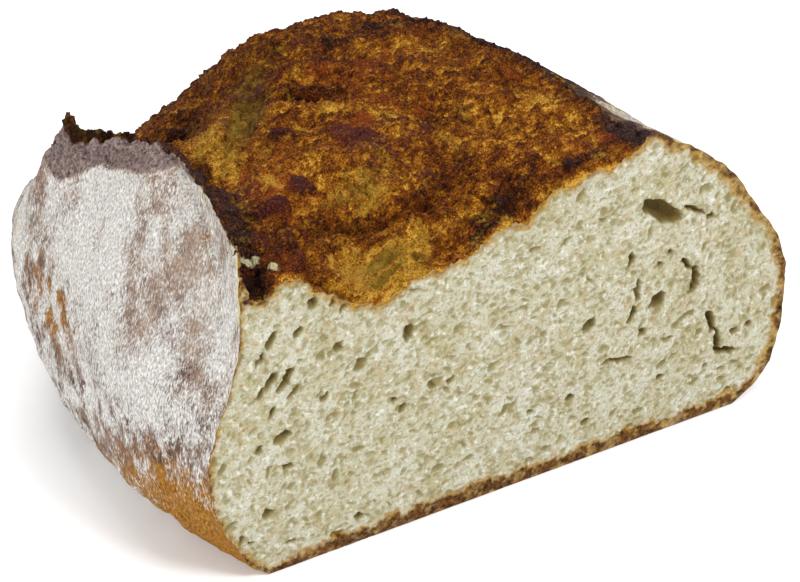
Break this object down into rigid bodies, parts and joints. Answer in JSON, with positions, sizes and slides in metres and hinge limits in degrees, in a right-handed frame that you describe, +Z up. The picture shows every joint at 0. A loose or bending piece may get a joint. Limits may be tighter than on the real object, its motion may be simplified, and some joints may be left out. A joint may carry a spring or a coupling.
{
  "type": "sourdough loaf",
  "caption": "Rustic sourdough loaf cut across, with a floured crust, a raised ear, a torn top and an open crumb face",
  "frame": {"origin": "centre of the flat base that the loaf rests on, at the middle of the loaf's plan", "axes": "+X along the cut face, the loaf's longest side; the cut face looks along -Y and the rounded end along +Y; +Z up from the base"},
  "size_m": [0.2298, 0.19, 0.1268],
  "materials": {
    "crust": "browned and floured bread crust, with pale crumb on the cut face"
  },
  "bodies": {
    "root": {"loaf": "crust"}
  },
  "joints": []
}
